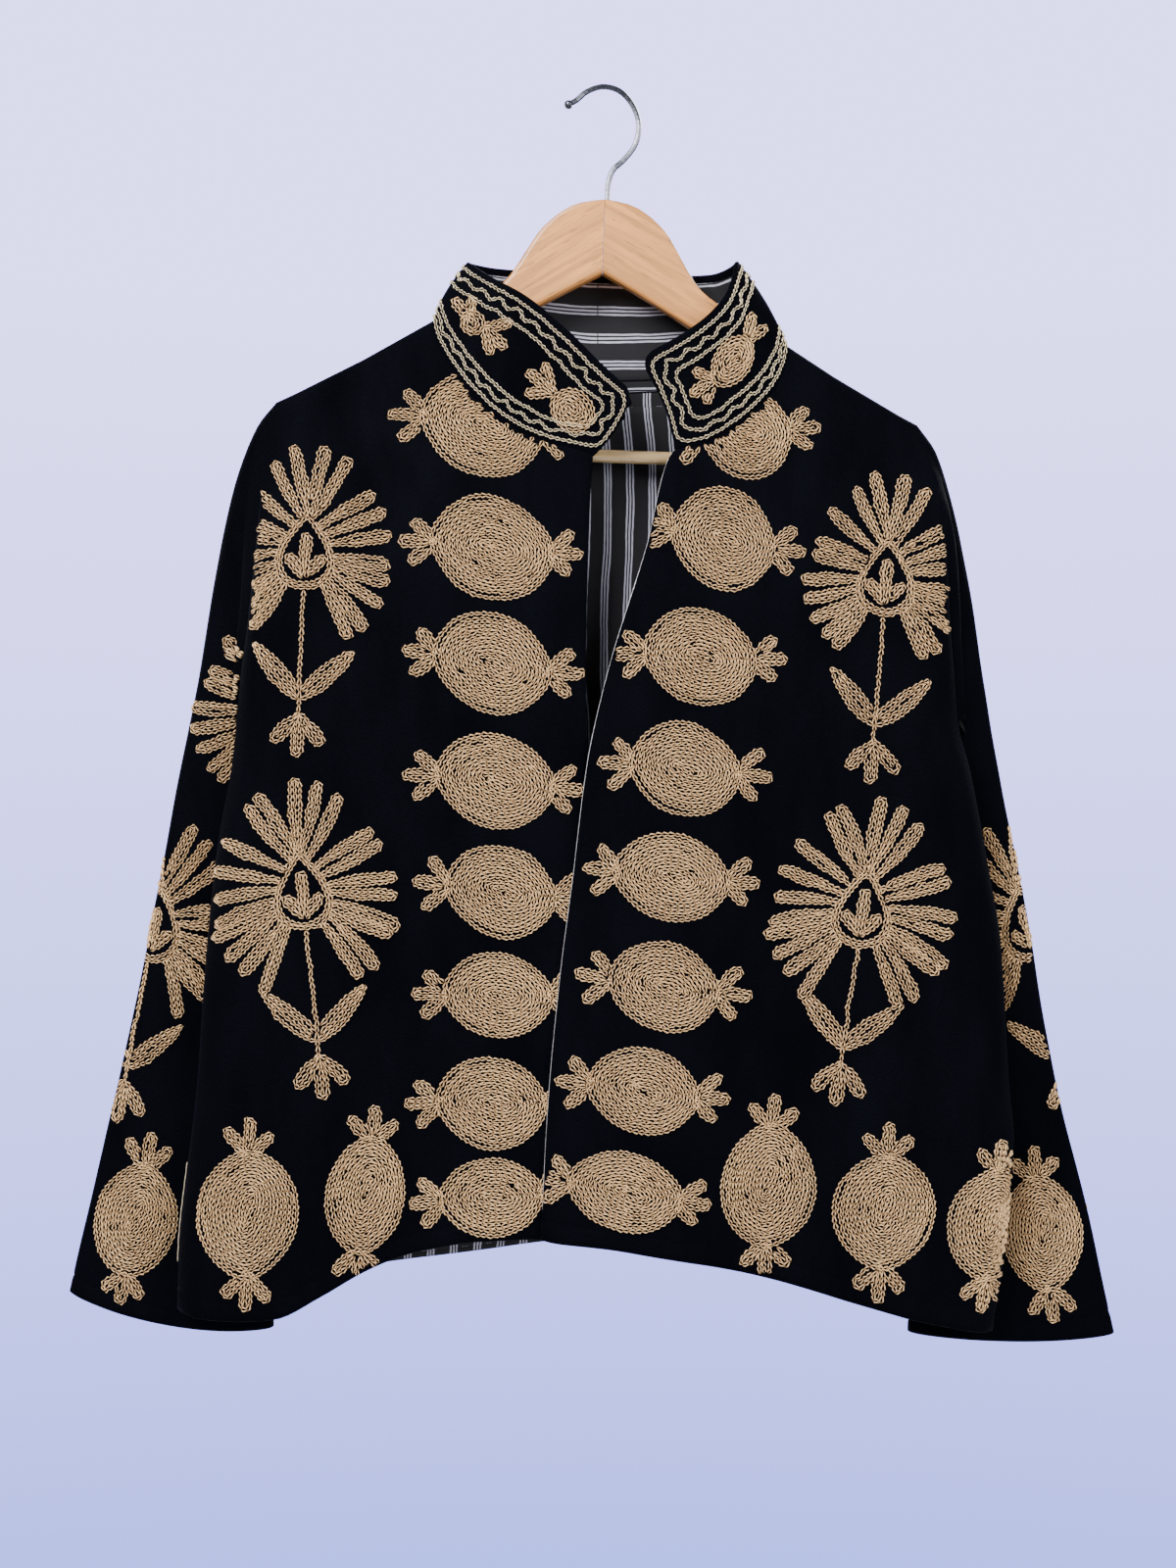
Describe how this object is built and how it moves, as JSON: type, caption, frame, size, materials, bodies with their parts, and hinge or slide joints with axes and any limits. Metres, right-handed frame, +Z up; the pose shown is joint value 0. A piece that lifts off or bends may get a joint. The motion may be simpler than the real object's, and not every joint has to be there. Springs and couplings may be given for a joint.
{
  "type": "suzani jacket on a wooden hanger",
  "caption": "Short open jacket of dark velvet with chain-stitched fruit and flower motifs, a band collar and a striped lining, hung from a wooden hanger's hook.",
  "frame": {"origin": "inside of the crown of the hanger's hook, where a rail or a nail holds it", "axes": "+Z up, +Y to the back of the jacket, +X to the viewer's right, which is the wearer's left"},
  "size_m": [0.728, 0.0749, 0.8625],
  "materials": {
    "velvet": "blue-black cotton velvet with a short nap",
    "striped_lining": "charcoal cotton with groups of three white lines",
    "thread": "tan cotton chain stitch",
    "cord_thread": "paler cream chain stitch on the collar",
    "beech": "satin lacquered beech",
    "bar_wood": "gloss lacquered round bar",
    "hook_steel": "bright plated steel wire"
  },
  "bodies": {
    "root": {"front_right": "velvet", "front_left": "velvet", "back": "velvet", "sleeve_right": "velvet", "sleeve_left": "velvet", "collar": "velvet", "back_lining": "striped_lining", "collar_lining": "striped_lining", "hanger_arm_right": "beech", "hanger_arm_left": "beech", "hanger_bar": "bar_wood", "hanger_hook": "hook_steel"}
  },
  "joints": []
}
